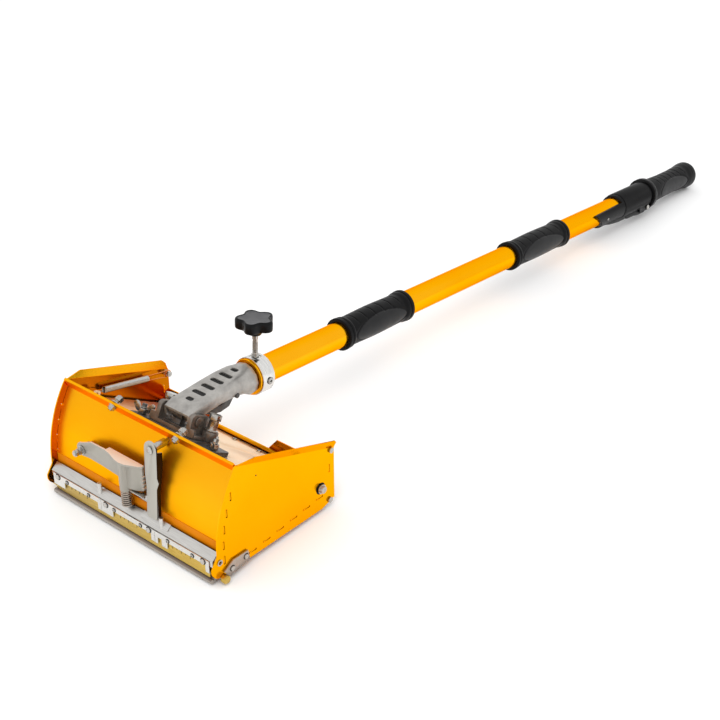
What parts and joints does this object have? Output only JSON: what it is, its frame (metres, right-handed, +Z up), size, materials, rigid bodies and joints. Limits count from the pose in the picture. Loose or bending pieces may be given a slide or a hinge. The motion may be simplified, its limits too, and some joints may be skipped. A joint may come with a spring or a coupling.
{
  "type": "drywall flat finishing box with pole handle",
  "caption": "Gold drywall finishing box with a tilting lid, crown adjuster lever and brass-lined blade end, on a tubular handle with rubber grips, a brake lever and a star-knob clamp.",
  "frame": {"origin": "centre of the bounding box at the floor", "axes": "+Z up, +Y from the blade towards the handle's end grip, +X across the box to its right-hand plate (to the viewer's right in the picture)"},
  "size_m": [0.2774, 1.2492, 0.1812],
  "materials": {
    "gold_anodised": "gold anodised sheet and tube, satin with soft reflections",
    "satin_aluminium": "satin natural aluminium",
    "grey_paint": "light grey powder coat",
    "zinc_plate": "bright zinc or nickel plate",
    "cast_aluminium": "sand-cast, lightly polished",
    "dark_cast": "dark cast, matte",
    "spring_steel": "bright drawn wire and ground strip",
    "brass": "satin brass",
    "black_rubber": "matte moulded rubber",
    "black_plastic": "semi-matte moulded plastic"
  },
  "bodies": {
    "box": {"left_side_plate": "gold_anodised", "right_side_plate": "gold_anodised", "front_plate": "gold_anodised", "bottom_plate": "gold_anodised", "rear_wall": "gold_anodised", "lid_axle": "zinc_plate", "left_axle_bush": "black_plastic", "right_axle_bush": "black_plastic", "left_spring_post": "zinc_plate", "right_spring_post": "zinc_plate", "wheel_axle": "zinc_plate", "left_skid_plate": "zinc_plate", "right_skid_plate": "zinc_plate", "left_runner": "brass", "right_runner": "brass", "blade_holder": "satin_aluminium", "left_clip_plate": "zinc_plate", "middle_clip_plate": "zinc_plate", "right_clip_plate": "zinc_plate", "brass_strip": "brass", "blade": "spring_steel", "blade_guard": "satin_aluminium", "left_stop_bolt": "zinc_plate", "right_stop_bolt": "zinc_plate", "crown_pivot_bolt": "zinc_plate", "latch_rivet": "zinc_plate", "crown_stop_tab": "zinc_plate", "crown_spring": "spring_steel", "left_return_spring": "spring_steel", "right_return_spring": "spring_steel"},
    "lid": {"lid": "satin_aluminium", "lid_seal": "black_rubber", "hinge_tube": "satin_aluminium", "base_plate": "dark_cast", "yoke": "cast_aluminium", "brake_drum": "dark_cast", "pivot_pin": "zinc_plate", "left_hex_bolt": "zinc_plate", "right_hex_bolt": "zinc_plate"},
    "head": {"head_casting": "cast_aluminium", "inner_tube": "satin_aluminium", "brake_rod": "zinc_plate"},
    "brake_arm": {"brake_arm": "dark_cast"},
    "handle": {"outer_tube": "gold_anodised", "clamp_collar": "satin_aluminium", "clamp_bolt": "zinc_plate", "front_grip": "black_rubber", "rear_grip": "black_rubber", "trigger_housing": "black_plastic", "trigger_screw": "zinc_plate", "end_grip": "black_rubber", "brake_sleeve": "satin_aluminium"},
    "knob": {"star_knob": "black_plastic"},
    "trigger": {"trigger_lever": "black_plastic"},
    "crown_lever": {"crown_lever": "grey_paint"},
    "latch_lever": {"latch_lever": "grey_paint"},
    "left_wheel": {"left_wheel": "black_plastic"},
    "right_wheel": {"right_wheel": "black_plastic"},
    "left_wing_nut": {"left_wing_nut": "zinc_plate"},
    "right_wing_nut": {"right_wing_nut": "zinc_plate"}
  },
  "joints": [
    {"name": "lid_hinge", "type": "hinge", "parent": "box", "child": "lid", "pos_m": [0, -0.46041, 0.03363], "axis": [1, 0, 0], "range_deg": [0, 28], "stiffness_Nm_per_rad": 2, "springref_deg": -57.3, "deforming": ["left_return_spring", "right_return_spring"]},
    {"name": "head_pivot", "type": "hinge", "parent": "lid", "child": "head", "pos_m": [0, -0.53201, 0.11217], "axis": [1, 0, 0], "range_deg": [0, 60]},
    {"name": "handle_extension", "type": "slide", "parent": "head", "child": "handle", "axis": [0, 0.9964, -0.0846], "range_m": [0, 0.3]},
    {"name": "clamp_knob_turn", "type": "hinge", "parent": "handle", "child": "knob", "pos_m": [0, -0.41469, 0.16945], "axis": [0, 0.0846, 0.9964], "continuous": true},
    {"name": "trigger_pull", "type": "hinge", "parent": "handle", "child": "trigger", "pos_m": [0.00385, 0.46102, 0.01669], "axis": [0.9781, 0.0176, 0.2072], "range_deg": [0, 14], "stiffness_Nm_per_rad": 0.2, "springref_deg": -17.19},
    {"name": "brake_arm_pivot", "type": "hinge", "parent": "head", "child": "brake_arm", "pos_m": [0, -0.46673, 0.11061], "axis": [1, 0, 0], "range_deg": [-4, 0]},
    {"name": "crown_lever_pivot", "type": "hinge", "parent": "box", "child": "crown_lever", "pos_m": [-0.072, -0.61218, 0.07786], "axis": [0, 0.9997, -0.0245], "range_deg": [-4, 1]},
    {"name": "latch_pivot", "type": "hinge", "parent": "box", "child": "latch_lever", "pos_m": [0.032, -0.6026, 0.11744], "axis": [0, 0.9898, -0.1425], "range_deg": [-1, 1.2], "stiffness_Nm_per_rad": 0.5},
    {"name": "left_wheel_spin", "type": "hinge", "parent": "box", "child": "left_wheel", "pos_m": [-0.113, -0.44666, 0.01129], "axis": [1, 0, 0], "continuous": true},
    {"name": "right_wheel_spin", "type": "hinge", "parent": "box", "child": "right_wheel", "pos_m": [0.113, -0.44666, 0.01129], "axis": [1, 0, 0], "continuous": true},
    {"name": "left_wing_nut_turn", "type": "hinge", "parent": "lid", "child": "left_wing_nut", "pos_m": [-0.0556, -0.53907, 0.09718], "axis": [0, 0.5061, 0.8625], "continuous": true},
    {"name": "right_wing_nut_turn", "type": "hinge", "parent": "lid", "child": "right_wing_nut", "pos_m": [0.0556, -0.53907, 0.09718], "axis": [0, 0.5061, 0.8625], "continuous": true}
  ],
  "couplings": [
    {"joint": "brake_arm_pivot", "follows": "trigger_pull", "ratio": -0.25}
  ]
}
